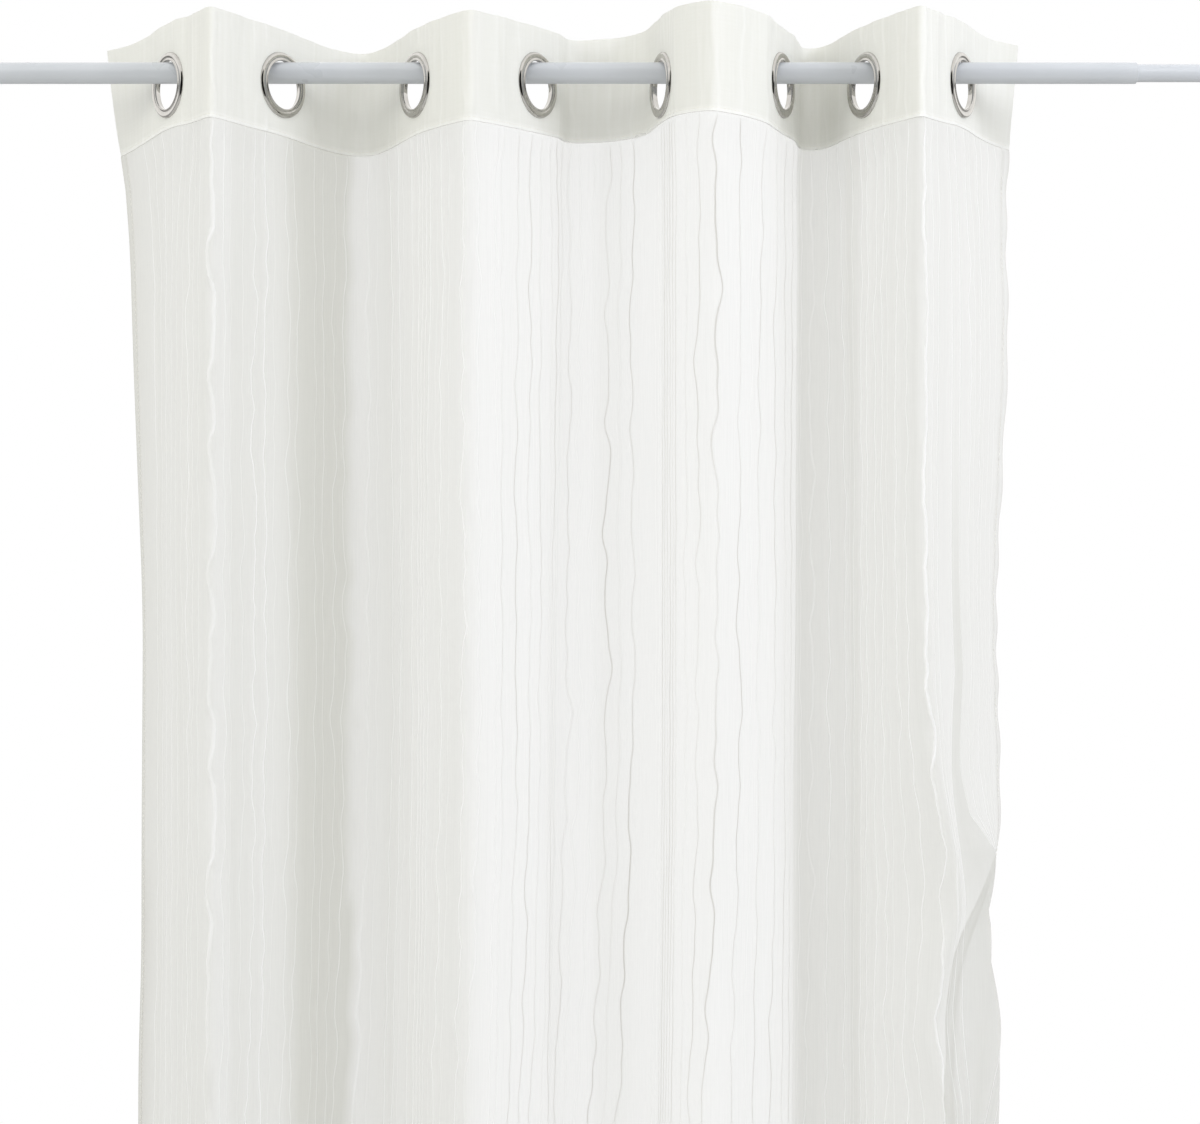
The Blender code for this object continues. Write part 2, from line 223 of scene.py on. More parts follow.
def foldRows(number, start, startWay, end, endWay, run, drops):
    # two Bezier curves that meet at the crest; its depth is halved in on until they use up the cloth
    fold = cloth["folds"][number]
    side = 1 if number % 2 else -1
    x = fold["x"] + fold["lean"] * drops / cloth["length"]
    if number == len(cloth["folds"]) - 1:
        x = x + crestPush(drops)
    along = np.column_stack([fold["roundness"] * levelValue("ease", drops), 0 * drops])
    shallow, deep = np.zeros_like(drops), np.full_like(drops, cloth["eyeletPitch"])
    for _ in range(28):
        depth = (shallow + deep) / 2
        crest = np.column_stack([x, side * depth])
        reachIn = cloth["crestReach"] * np.linalg.norm(crest - start, axis=1)[:, None]
        reachOut = cloth["crestReach"] * np.linalg.norm(end - crest, axis=1)[:, None]
        rise = bezierRows(start, start + startWay * reachIn, crest - along, crest)
        fall = bezierRows(crest, crest + along, end - endWay * reachOut, end)
        short = rowLengths(rise) + rowLengths(fall) < run
        shallow, deep = np.where(short, depth, shallow), np.where(short, deep, depth)
    return np.concatenate([rise, fall[:, 1:]], axis=1)


def planRows(drops):
    # the whole line of the cloth at each drop, from the left hem to the right one
    flat = levelValue("flat", drops)
    rows = [crossingRows(i, drops) for i in range(len(cloth["eyelets"]))]
    half = cloth["eyeletPitch"] / 2
    straight = flat[:, None]
    centre, way = rows[0]
    turn = levelValue("leftTurn", drops)
    parts = [flapRows(centre - straight * way, -way, half - flat, turn)[:, ::-1]]
    for i in range(len(cloth["folds"])):
        (here, hereWay), (there, thereWay) = rows[i], rows[i + 1]
        start, end = here + straight * hereWay, there - straight * thereWay
        parts.append(foldRows(i, start, hereWay, end, thereWay, cloth["eyeletPitch"] - 2 * flat, drops))
    centre, way = rows[-1]
    parts.append(flapRows(centre + straight * way, way, half - flat, levelValue("rightTurn", drops)))
    return np.concatenate(parts, axis=1)


def clothPlaces(drops, across):
    # X and Y of the cloth at each row's distances from the left hem, read along that row's line
    places = np.empty(across.shape + (2,))
    for row, line in enumerate(planRows(drops)):
        run = np.concatenate([[0], np.cumsum(np.linalg.norm(np.diff(line, axis=0), axis=1))])
        at = across[row] * run[-1] / cloth["width"]
        places[row] = np.column_stack([np.interp(at, run, line[:, 0]), np.interp(at, run, line[:, 1])])
    return places


def topHeights(across):
    # the heading's top edge: straight between the eyelets and crests, then averaged over 4 cm
    tops = [cloth["leftTop"]]
    for i, eyelet in enumerate(cloth["eyelets"]):
        tops.append(eyelet["top"])
        if i < len(cloth["folds"]):
            tops.append(cloth["folds"][i]["top"])
    tops.append(cloth["rightTop"])
    stations = np.linspace(0, cloth["width"], len(tops))
    steps = np.linspace(-0.02, 0.02, 9)
    return np.mean([np.interp(across + step, stations, tops) for step in steps], axis=0)


def facing(places):
    # the level direction across the cloth, a quarter turn from the way its row runs
    way = unit(np.gradient(places, axis=1))
    return np.stack([way[..., 1], -way[..., 0]], axis=2)


def newObject(name, data):
    made = bpy.data.objects.new(name, data)
    bpy.context.scene.collection.objects.link(made)
    return made


def gridFaces(rows, columns, closed=False):
    # the four corners of each cell of a grid of points, and round again if the columns close
    step = np.arange(columns if closed else columns - 1)
    first = (np.arange(rows - 1)[:, None] * columns + step).ravel()
    second = (np.arange(rows - 1)[:, None] * columns + (step + 1) % columns).ravel()
    return np.column_stack([first, first + columns, second + columns, second])


def meshPiece(name, points, faces, material, values=None, body="curtain", across=None):
    # a mesh of those points and faces, shaded smooth, with its float attributes and its UV map
    mesh = bpy.data.meshes.new(name)
    faces = faces if isinstance(faces, list) else faces.tolist()
    mesh.from_pydata(np.reshape(points, (-1, 3)).tolist(), [], faces)
    for key, value in (values or {}).items():
        made = mesh.attributes.new(key, "FLOAT", "POINT")
        made.data.foreach_set("value", np.ravel(value).astype(np.float32))
    if across is not None:
        corner = np.empty(len(mesh.loops), np.int32)
        mesh.loops.foreach_get("vertex_index", corner)
        flat = np.reshape(across, (-1, 2))[corner].astype(np.float32)
        mesh.uv_layers.new(name="clothMetres").data.foreach_set("uv", flat.ravel())
    mesh.polygons.foreach_set("use_smooth", np.ones(len(mesh.polygons), bool))
    mesh.materials.append(material)
    piece = newObject(name, mesh)
    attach(piece, body)
    return piece


# materials

def attribute(tree, name):
    return addNode(tree, "ShaderNodeAttribute", attribute_name=name).outputs["Fac"]


def metres(tree):
    # a hard piece's own places in metres
    return addNode(tree, "ShaderNodeTexCoord").outputs["Object"]


def clothMetres(tree):
    # the sheet's flat places in metres
    return addNode(tree, "ShaderNodeUVMap", uv_map="clothMetres").outputs["UV"]


def noise(tree, place, scale=1.0, detail=0.0, stretch=None):
    # noise of that many cells a metre, or of as many along each axis as stretch says
    if stretch:
        inputs = {"Vector": place, "Scale": stretch}
        place = addNode(tree, "ShaderNodeMapping", inputs).outputs["Vector"]
    inputs = {"Vector": place, "Scale": scale, "Detail": detail}
    return addNode(tree, "ShaderNodeTexNoise", inputs).outputs["Fac"]


def scaled(tree, value, factor, more=0.0, **settings):
    # a value times a factor plus one more number or value
    inputs = {0: value, 1: factor, 2: more}
    return addNode(tree, "ShaderNodeMath", inputs, operation="MULTIPLY_ADD", **settings).outputs[0]


def blend(tree, share, low, high):
    # a colour between two, each a hex code or another node's colour
    made = addNode(tree, "ShaderNodeMix", {0: share}, data_type="RGBA")
    for name, value in (("A", low), ("B", high)):
        if isinstance(value, str):
            made.inputs[name].default_value = (*linear(value), 1)
        else:
            tree.links.new(value, made.inputs[name])
    return made.outputs["Result"]


def between(tree, value, low, high):
    inputs = {"Value": value, "To Min": low, "To Max": high}
    return addNode(tree, "ShaderNodeMapRange", inputs).outputs["Result"]


def principled(tree, colour, roughness, more=None, bump=None):
    # a Principled shader; bump is a height, its strength and its distance in metres
    inputs = {"Base Color": colour, "Roughness": roughness, **(more or {})}
    if bump:
        sockets = dict(zip(("Height", "Strength", "Distance"), bump))
        inputs["Normal"] = addNode(tree, "ShaderNodeBump", sockets).outputs["Normal"]
    return addNode(tree, "ShaderNodeBsdfPrincipled", inputs).outputs["BSDF"]


def mixed(tree, share, first, second):
    return addNode(tree, "ShaderNodeMixShader", {0: share, 1: first, 2: second}).outputs["Shader"]


def finished(material, tree, shader):
    addNode(tree, "ShaderNodeOutputMaterial", {"Surface": shader})
    return material


def voileMaterial():
    # Polyester voile, plain woven and crinkled: matt, see-through between its threads, a little
    # glow from behind, and close to solid along the crinkles, where the threads bunch up.
    material, tree = newMaterial("polyester_voile_crinkled")
    uv = clothMetres(tree)
    # slubs: uneven warp threads 40 mm long and 1.2 mm wide, and fainter weft ones
    warp = noise(tree, uv, detail=1.0, stretch=(820, 24, 1))
    weft = noise(tree, uv, stretch=(26, 700, 1))
    spread = scaled(tree, scaled(tree, weft, 0.10, warp), 0.07, -0.0385)
    opacity = scaled(tree, attribute(tree, "cover"), 1.0, spread, use_clamp=True)
    # broad bands of painted light and shade over random patches of tone, then the crinkles' bunched
    # threads
    ground = blend(tree, attribute(tree, "tone"), "cecec4", "efefed")
    # the crinkles are drawn white, partly the bunched threads' own whiteness and partly a painted
    # highlight where the cloth is lit
    bright = blend(tree, attribute(tree, "light"), ground, "ffffff")
    # painted shade: the crinkles are drawn dark where the cloth is painted as lit from behind; the side
    # hems' edge lines are drawn dark here too
    colour = blend(tree, attribute(tree, "dark"), bright, "c4c2ba")
    sheen = {"IOR": 1.45, "Sheen Weight": 0.25, "Sheen Roughness": 0.4}
    threads = principled(tree, colour, 0.8, sheen, (warp, 0.12, 0.0005))
    glow = addNode(tree, "ShaderNodeBsdfTranslucent", {"Color": colour}).outputs["BSDF"]
    gaps = addNode(tree, "ShaderNodeBsdfTransparent").outputs["BSDF"]
    return finished(material, tree, mixed(tree, opacity, gaps, mixed(tree, 0.40, threads, glow)))


def headingMaterial():
    # The same voile doubled over a stiffening net: whiter, nearly solid, with faint woven streaks.
    material, tree = newMaterial("polyester_voile_doubled")
    uv = clothMetres(tree)
    streaks = noise(tree, uv, detail=2.0, stretch=(300, 14, 1))
    weft = noise(tree, uv, stretch=(30, 700, 1))
    both = scaled(tree, weft, 0.3, streaks)
    ground = blend(tree, scaled(tree, both, 0.75), "e9e9e2", "f2f2ee")
    # painted highlight along the turned lower edge and the crinkles' ridges, from the light attribute
    colour = blend(tree, attribute(tree, "light"), ground, "fbfbf8")
    sheen = {"IOR": 1.45, "Sheen Weight": 0.2, "Sheen Roughness": 0.4}
    threads = principled(tree, colour, 0.75, sheen, (both, 0.25, 0.0006))
    glow = addNode(tree, "ShaderNodeBsdfTranslucent", {"Color": colour}).outputs["BSDF"]
    return finished(material, tree, mixed(tree, 0.13, threads, glow))


def threadMaterial():
    # Spun polyester sewing thread: matt, a shade whiter than the cloth.
    material, tree = newMaterial("polyester_thread_spun")
    place = metres(tree)
    # the thread's twist, really 0.4 mm a turn, is drawn 0.8 mm apart so that it shows
    twist = noise(tree, place, 1250.0, 1.0)
    return finished(material, tree, principled(tree, blend(tree, twist, "e6e4d9", "fbfaf5"), 0.7))


def nickelMaterial():
    # Nickel plate on stamped steel, polished: a warm grey mirror with faint buffing marks.
    material, tree = newMaterial("nickel_plate_polished")
    place = metres(tree)
    # buffing marks and finger film, 2 to 6 mm across
    film = noise(tree, place, 260.0, 3.0)
    shader = principled(tree, blend(tree, film, "b4b2ae", "cccac6"), between(tree, film, 0.04, 0.12),
                        {"Metallic": 1.0}, (film, 0.05, 0.0003))
    return finished(material, tree, shader)


def enamelMaterial():
    # White stoving enamel on drawn steel tube: an even satin gloss over a faint orange peel.
    material, tree = newMaterial("stoving_enamel_white")
    place = metres(tree)
    # orange peel about 1.5 mm across, drawn long along the tube as it was sprayed turning
    peel = noise(tree, place, detail=2.0, stretch=(260, 640, 640))
    rub = noise(tree, place, 22.0, 3.0)
    shader = principled(tree, blend(tree, rub, "b9bdc1", "c6c9cd"), between(tree, rub, 0.22, 0.36),
                        {"IOR": 1.5, "Coat Weight": 0.3, "Coat Roughness": 0.12}, (peel, 0.02, 0.0001))
    return finished(material, tree, shader)


def capMaterial():
    # Injection-moulded polypropylene: satin, with the fine spark-eroded grain of its mould.
    material, tree = newMaterial("polypropylene_moulded")
    place = metres(tree)
    grain = noise(tree, place, 1800.0, 2.0)
    colour = blend(tree, grain, "dadde0", "e6e8ea")
    shader = principled(tree, colour, 0.48, {"IOR": 1.49}, (grain, 0.15, 0.0003))
    return finished(material, tree, shader)


# the crinkles, which run down through the heading and the panel alike

crinkle = {
    # those that show most: how far from the left hem, how strong, how far they stray
    "main": [
        (0.044, 0.6, 0.5), (0.060, 0.5, 0.5), (0.078, 0.7, 0.6), (0.096, 0.6, 0.6), (0.113, 0.5, 0.8),
        (0.137, 0.9, 1.2), (0.1765, 0.42, 0.9), (0.189, 0.5, 0.7), (0.2285, 0.7, 1.2),
        (0.2415, 1.0, 1.1), (0.268, 0.4, 0.6), (0.388, 0.6, 0.4), (0.402, 0.8, 0.5), (0.430, 0.7, 0.4),
        (0.443, 0.8, 0.4), (0.450, 0.6, 0.3), (0.457, 0.8, 0.3), (0.465, 0.6, 0.4), (0.486, 0.8, 1.0),
        (0.518, 0.9, 1.2), (0.563, 0.5, 0.6), (0.586, 0.7, 0.9), (0.604, 0.6, 1.0), (0.618, 0.5, 0.8),
        (0.645, 0.8, 1.2), (0.657, 0.5, 0.8), (0.674, 0.55, 1.2), (0.709, 0.6, 1.0), (0.732, 0.6, 0.8),
        (0.789, 0.8, 0.2), (0.796, 1.0, 0.2), (0.803, 0.8, 0.2), (0.810, 1.0, 0.2), (0.8165, 0.8, 0.2),
        (0.823, 0.7, 0.2), (0.855, 0.55, 1.1), (0.871, 0.6, 1.1), (0.895, 0.7, 1.0), (0.923, 0.6, 0.8),
        (0.949, 0.7, 1.0), (0.971, 0.6, 0.7), (0.990, 0.7, 0.9), (1.018, 0.6, 1.1), (1.065, 0.6, 0.9),
        (1.091, 0.8, 1.2), (1.115, 0.6, 0.6), (1.131, 0.8, 0.5), (1.141, 0.9, 0.6), (1.156, 0.7, 0.9),
        (1.170, 0.8, 1.0), (1.192, 0.7, 0.7), (1.206, 0.7, 0.8), (1.226, 0.9, 1.1), (1.239, 0.6, 0.5),
        (1.252, 0.6, 0.4), (1.275, 0.7, 0.0), (1.290, 0.7, 0.0), (1.312, 0.6, 0.8), (1.340, 0.8, 1.3),
    ],
    "closest": 0.0085,         # the fainter ones lie no nearer than this to any other
    "faint": 36,
    "faintStrength": (0.12, 0.38),
    "faintStray": (0.3, 1.0),
    "margin": 0.014,           # and keep this far from the side hems' edges
    # the waves' lengths and heights, first each crinkle's own, then those that neighbours share
    "wander": [(0.029, 0.0004), (0.047, 0.0006), (0.078, 0.0008), (0.127, 0.0009), (0.290, 0.0009)],
    "sway": [(0.051, 0.0005), (0.086, 0.0010), (0.190, 0.0008)],
    "swayTurn": (0.013, 0.021),    # their phase turns a radian in the first, unevenly by the second
    "beat": 0.09,              # the strength swells and fades down the cloth over this much a radian
    "drift": -0.016,           # the crinkles lean to the left by this much low down
    "driftFrom": 0.50,
    "driftTo": 0.95,
    "driftAcross": 1.23,       # the lean is half a sine wave that ends here
    # painted shade: between darkFrom and darkTo the cloth is painted bright and its crinkles are
    # painted dark, as seen against light from behind
    "darkFrom": 0.545,         # between these the cloth is thin and bright, so its crinkles look dark
    "darkTo": 1.035,
    "darkEdge": 0.02,
    "seed": 41,
}

# a pleat near the right hem, pressed flat: by drop, its two edges across the cloth. Two of the
# crinkles follow these, and their neighbours between "from" and "to" make room.
pleat = {
    "edges": [
        (-0.10, 1.275, 1.290), (0.30, 1.285, 1.302), (0.46, 1.290, 1.309), (0.54, 1.267, 1.293),
        (0.585, 1.258, 1.312), (0.61, 1.253, 1.350), (0.625, 1.252, 1.378), (0.68, 1.255, 1.380),
        (0.85, 1.270, 1.300), (2.40, 1.275, 1.290),
    ],
    "from": 1.235,
    "to": 1.390,
    "shown": (0.20, 0.45, 0.62, 0.70),     # drops between which it comes and goes
    "height": 0.0006,
    "step": 0.0005,            # each edge rises over twice this
    "cover": 0.16,
    "tone": -0.22,
}


def pleatEdges(drops):
    known = np.array(pleat["edges"])
    return np.interp(drops, known[:, 0], known[:, 1]), np.interp(drops, known[:, 0], known[:, 2])


def crinkleTable():
    # every crinkle's place, strength and liveliness, with its waves' phases and stretches; the
    # fainter ones are put where there is room
    random = np.random.default_rng(crinkle["seed"])
    rows = list(crinkle["main"])
    margin, waves = crinkle["margin"], len(crinkle["wander"])
    for place in random.uniform(margin, cloth["width"] - margin, 40 * crinkle["faint"]):
        if len(rows) == len(crinkle["main"]) + crinkle["faint"]:
            break
        if min(abs(place - row[0]) for row in rows) > crinkle["closest"]:
            strength = random.uniform(*crinkle["faintStrength"])
            rows.append((place, strength, random.uniform(*crinkle["faintStray"])))
    table = np.array(sorted(rows))
    phases = random.uniform(0, 2 * math.pi, (len(table), waves + 1))
    stretches = random.uniform(0.8, 1.25, (len(table), waves))
    return table, phases, stretches


def crinkleRows(drops):
    # each crinkle's place and strength at each drop: its own line plus sums of sine waves and the
    # common lean, then drawn in or out, in three straight parts, round the pleat
    (home, strength, stray), phases, stretches = (part.T for part in crinkleTable())
    down, turn = drops[:, None], 2 * math.pi * drops[:, None]
    places = np.repeat(home[None], len(drops), axis=0)
    for (wave, height), phase, stretch in zip(crinkle["wander"], phases, stretches):
        places = places + height * stray * np.sin(turn / (wave * stretch) + phase)
    phase = home / crinkle["swayTurn"][0] + 2 * np.sin(home / crinkle["swayTurn"][1])
    for wave, height in crinkle["sway"]:
        places = places + height * np.clip(2 * stray, 0, 1) * np.sin(turn / wave + phase)
    lean = np.sin(math.pi * np.clip(home / crinkle["driftAcross"], 0, 1))
    lean = smoothStep(crinkle["driftFrom"], crinkle["driftTo"], down) * lean
    places = places + crinkle["drift"] * lean
    left, right = (edge[:, None] for edge in pleatEdges(drops))
    known = [pleat["from"], *pleat["edges"][0][1:], pleat["to"]]
    moved = [pleat["from"], left, right, pleat["to"]]
    drawn = places
    for i in range(3):
        share = (places - known[i]) / (known[i + 1] - known[i])
        part = moved[i] + share * (moved[i + 1] - moved[i])
        drawn = np.where((share > 0) & (share <= 1), part, drawn)
    return drawn, strength * (0.8 + 0.2 * np.sin(down / crinkle["beat"] + phases[-1]))


def clothNoise(across, drops, wide, long, random):
    # soft patches from -1 to 1: random values on a wide by long grid, blended with the smooth step
    size = (int((cloth["length"] + 0.2) / long) + 3, int(cloth["width"] / wide) + 3)
    values = random.uniform(-1, 1, size)
    x, y = across / wide + 0.5, (drops + 0.1) / long
    column, row = np.floor(x).astype(int), np.floor(y).astype(int)
    u, v = smoothStep(0, 1, x - column), smoothStep(0, 1, y - row)
    upper = values[row, column] * (1 - u) + values[row, column + 1] * u
    lower = values[row + 1, column] * (1 - u) + values[row + 1, column + 1] * u
    return upper * (1 - v) + lower * v


# the voile panel

panel = {
    "sideHem": 0.010,
    "bottomHem": 0.050,
    "tuckedUp": 0.0015,        # the voile runs on up into the heading band
    "seamStep": 0.0007,        # and comes out flush with its front
    "crinkleWidth": 0.0008,    # from a crinkle's ridge to its foot
    "crinkleHeight": 0.0005,
    "pucker": 0.0004,          # the cloth between two crinkles sinks by this much
    "cover": 0.72,             # how much of the view the voile's threads close
    "ridgeCover": 0.92,
    "hemCover": 0.92,
    "hemRise": 0.0003,         # the hems' doubled cloth stands out by this
    "hemWave": 0.0010,         # the right hem is drawn up a little by its stitching, so it waves
    "hemWaveWidth": 0.014,     # in from the hem the wave dies away over this
    "hemWaveDrop": 0.0105,     # and down the cloth it turns a radian in this
    "hemLine": 0.0008,         # how wide the dark lines along the hem's two edges are
    "hemLineFrom": (0.60, 0.66),   # they are strongest below here
    "tone": 0.55,
    "tonePatch": 0.13,
    "coverPatch": 0.03,
    "patches": [(0.7, 0.026, 0.30), (0.3, 0.009, 0.14)],   # patches of tone: strength, width, length
    "rolled": (1.10, 1.19, 1.26, 1.38),    # the shades between these follow the last fold's crest
    "rolledShare": 0.55,
    "fineRows": 0.95,          # closer rows down to here, a little below the photograph's edge
    "fineStep": 0.0066,
    "coarseStep": 0.0130,
    "seed": 7,
    # soft troughs and ridges across the flanks: where, how wide, from which drop to which, how deep
    "fades": (0.10, 0.20),     # they come in and go out over this much
    "troughs": [
        (0.020, 0.016, 0.02, 0.14, 0.0035),
        (0.052, 0.022, 0.03, 0.90, -0.0030),
        (0.118, 0.020, 0.02, 0.55, 0.0025),
        (0.214, 0.020, 0.05, 1.30, -0.0030),
        (0.284, 0.022, 0.03, 2.20, 0.0040),
        (0.398, 0.020, 0.04, 0.70, -0.0026),
        (0.468, 0.022, 0.15, 1.60, 0.0030),
        (0.585, 0.022, 0.08, 1.10, -0.0028),
        (0.655, 0.026, 0.02, 0.45, 0.0030),
        (0.742, 0.026, 0.20, 1.90, -0.0030),
        (0.838, 0.020, 0.05, 0.85, 0.0026),
        (0.930, 0.022, 0.10, 1.40, -0.0030),
        (1.010, 0.020, 0.02, 0.60, 0.0026),
        (1.095, 0.020, 0.12, 1.70, -0.0026),
        (1.180, 0.020, 0.04, 0.75, 0.0024),
        (1.262, 0.018, 0.06, 0.60, -0.0026),
        (1.330, 0.020, 0.03, 0.58, 0.0030),
    ],
    # pressed creases along a fold's edge, sharp in section
    "creases": [
        (0.1755, 0.014, -0.02, 2.20, 0.0030),
        (0.3480, 0.018, -0.02, 2.30, -0.0060),
        (0.5260, 0.014, -0.02, 0.80, 0.0022),
        (0.8730, 0.014, -0.02, 0.70, 0.0020),
        (1.0500, 0.016, -0.02, 1.60, -0.0030),
        (1.2260, 0.014, -0.02, 0.90, 0.0022),
    ],
    # painted light and shade: bands painted darker where a fold's valley lies in shade, paler where the
    # cloth is lit, and paler and more open where light comes through from behind. For each: the places
    # between which it comes and goes, how much paler and how much more open it is
    "paintedShades": [
        (-0.001, 0.000, 0.050, 0.080, -0.08, 0.00),
        (0.175, 0.178, 0.192, 0.202, 0.20, 0.00),
        (0.256, 0.286, 0.3425, 0.3450, -0.42, -0.04),
        (0.3450, 0.3475, 0.366, 0.394, 0.20, 0.00),
        (0.385, 0.400, 0.500, 0.520, 0.16, 0.00),
        (0.500, 0.545, 1.000, 1.045, 0.42, 0.24),
        (0.695, 0.702, 0.715, 0.735, -0.20, -0.02),
        (1.045, 1.060, 1.205, 1.225, 0.08, 0.02),
        (1.098, 1.105, 1.120, 1.128, -0.16, -0.02),
        (1.218, 1.232, 1.400, 1.401, 0.12, 0.16),
    ],
    # small pleats where the seam gathers the cloth at the back of a fold
    "gathers": [(0.350, 0.045), (0.700, 0.040), (1.048, 0.050)],
    "gatherWave": 0.0105,
    "gatherHeight": 0.0009,
    "gatherDrop": 0.045,
}


def reliefOf(drops, across):
    # troughs are bells and creases are cusps across the cloth, and each fades in and out down it;
    # the gathers are short waves that die away under the seam
    down, depths = drops[:, None], np.zeros_like(across)
    comes, goes = panel["fades"]
    for place, width, top, bottom, depth in panel["troughs"] + panel["creases"]:
        away = np.abs(across - place) / width
        sharp = (place, width, top, bottom, depth) in panel["creases"]
        shape = np.exp(-1.5 * away) if sharp else np.exp(-away ** 2)
        depths += depth * shape * window(down, top, top + comes, bottom - goes, bottom)
    wave = np.sin(2 * math.pi * across / panel["gatherWave"] + 3 * np.sin(across / 0.013))
    fade = np.exp(-np.clip(down, 0, None) / panel["gatherDrop"]) * smoothStep(0, 0.012, down)
    for place, width in panel["gathers"]:
        depths += panel["gatherHeight"] * wave * np.exp(-((across - place) / width) ** 2) * fade
    return depths


def panelDrops():
    # the drop of each row: closer where the photograph shows the cloth, by the seam and by the hem
    hemTop = cloth["length"] - cloth["headingHeight"] - panel["bottomHem"]
    fine = np.arange(0.004, panel["fineRows"], panel["fineStep"])
    coarse = np.arange(panel["fineRows"], hemTop - 0.004, panel["coarseStep"])
    inHem = [0, 0.0012, 0.012, 0.024, 0.036, panel["bottomHem"] - 0.001, panel["bottomHem"]]
    drops = [[-panel["tuckedUp"], 0, 0.0009], fine, coarse, hemTop + np.array(inHem)]
    return np.concatenate(drops), hemTop


def panelColumns(drops, hemTop):
    # four columns a crinkle: its foot, ridge and other foot, and the middle of the next space; with
    # how far each point is lifted as a crinkle and sunk between two
    rows, edge = len(drops), panel["sideHem"]
    ridges, strength = crinkleRows(drops)
    left = np.array([0, 0.0007, edge / 2, edge - 0.0006, edge + 0.0006])
    right = cloth["width"] - left[::-1]
    ends = np.column_stack([np.full(rows, left[-1]), ridges, np.full(rows, right[0])])
    spaces = np.diff(ends, axis=1)
    # the feet are narrower where the pleat crowds the crinkles
    foot = np.minimum(panel["crinkleWidth"], 0.35 * np.minimum(spaces[:, :-1], spaces[:, 1:]))
    middle = (ridges + ends[:, 2:]) / 2
    columns = np.stack([ridges - foot, ridges, ridges + foot, middle], axis=2).reshape(rows, -1)
    across = np.hstack([np.tile(left, (rows, 1)), columns, np.tile(right, (rows, 1))])
    # the crinkles start under the seam and end at the bottom hem
    force = strength * window(drops, 0, 0.006, hemTop - 0.03, hemTop)[:, None]
    zero, pad = 0 * force, np.zeros((rows, len(left)))
    lift = np.stack([0.1 * force, force, 0.1 * force, zero], axis=2).reshape(rows, -1)
    sink = np.stack([zero, zero, zero, force], axis=2).reshape(rows, -1)
    return across, np.hstack([pad, lift, pad]), np.hstack([pad, sink, pad])


def panelValues(drops, across, lift, hemmed, pleated):
    # how far the threads close the view, the ground's tone with its painted light and shade, and the
    # light and dark lines on it, mostly painted light and shade
    random, edge = np.random.default_rng(panel["seed"]), panel["sideHem"]
    down = np.broadcast_to(drops[:, None], across.shape)
    patches = sum(strength * clothNoise(across, down, wide, long, random)
                  for strength, wide, long in panel["patches"])
    push = panel["rolledShare"] * crestPush(drops)[:, None]
    rolled = across - push * window(across, *panel["rolled"])
    # the painted light and shade bands, moved where the last fold's crest rolls over them
    paintedShades, opened = 0, 0
    for *sides, paler, wider in panel["paintedShades"]:
        share = window(rolled, *sides)
        paintedShades, opened = paintedShades + paler * share, opened + wider * share
    # painted shade: inDark is where the crinkles are drawn dark instead of light
    start, end, soft = crinkle["darkFrom"], crinkle["darkTo"], crinkle["darkEdge"]
    inDark = window(across, start, start + soft, end - soft, end)
    ridge = np.clip(1.6 * lift, 0, 1)
    # painted light: the right side hem is drawn lighter, as it is lit there
    rightHem = smoothStep(-edge - 0.0002, -edge + 0.0002, across - cloth["width"])
    # both edges of each side hem are drawn dark, and more so low down
    inset, line = np.minimum(across, cloth["width"] - across), panel["hemLine"]
    hemLine = np.exp(-((inset - edge) / line) ** 2) + np.exp(-(inset / line) ** 2)
    hemLine = hemLine * (0.4 + 0.6 * smoothStep(*panel["hemLineFrom"], down))
    cover = panel["cover"] - opened + panel["coverPatch"] * patches + pleat["cover"] * pleated
    cover += (panel["ridgeCover"] - cover) * ridge
    tone = panel["tone"] + panel["tonePatch"] * patches + paintedShades + pleat["tone"] * pleated
    return {
        "cover": np.maximum(cover, panel["hemCover"] * hemmed),
        "tone": np.clip(tone, 0, 1),
        "light": np.maximum(ridge * (1 - inDark), 0.35 * rightHem),
        "dark": np.maximum(ridge ** 2 * inDark, hemLine),
    }


def makePanel(material):
    drops, hemTop = panelDrops()
    across, lift, sink = panelColumns(drops, hemTop)
    down, inset = drops[:, None], np.minimum(across, cloth["width"] - across)
    hemmed = ((inset < panel["sideHem"]) | (down >= hemTop + 0.001)).astype(float)
    hemWave = np.exp((across - cloth["width"]) / panel["hemWaveWidth"])
    hemWave = hemWave * np.sin(down / panel["hemWaveDrop"] + 2 * np.sin(down / 0.07))
    (left, right), step = (edge[:, None] for edge in pleatEdges(drops)), pleat["step"]
    pleated = window(across, left - step, left + step, right - step, right + step)
    pleated = window(down, *pleat["shown"]) * pleated
    offset = panel["crinkleHeight"] * lift - panel["pucker"] * sink + panel["hemRise"] * hemmed
    offset += reliefOf(drops, across) + pleat["height"] * pleated + panel["hemWave"] * hemWave
    offset += panel["seamStep"] * window(down, -0.0009, 0.0009, 0.002, 0.03)
    places = clothPlaces(np.maximum(drops, 0), across)
    places += facing(places) * offset[..., None]
    heights = topHeights(across) - cloth["headingHeight"] - down
    points = np.concatenate([places, heights[..., None]], axis=2)
    values = panelValues(drops, across, lift, hemmed, pleated)
    uv = np.stack(np.broadcast_arrays(across, down), axis=2)
    piece = meshPiece("voile_panel", points, gridFaces(*across.shape), material, values, across=uv)
    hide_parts("panel")
    narrowest = round(1000 * np.diff(across).min(), 2)
    print("voile panel:", len(piece.data.polygons), "cells, the narrowest", narrowest, "mm")
    return piece


# the heading band

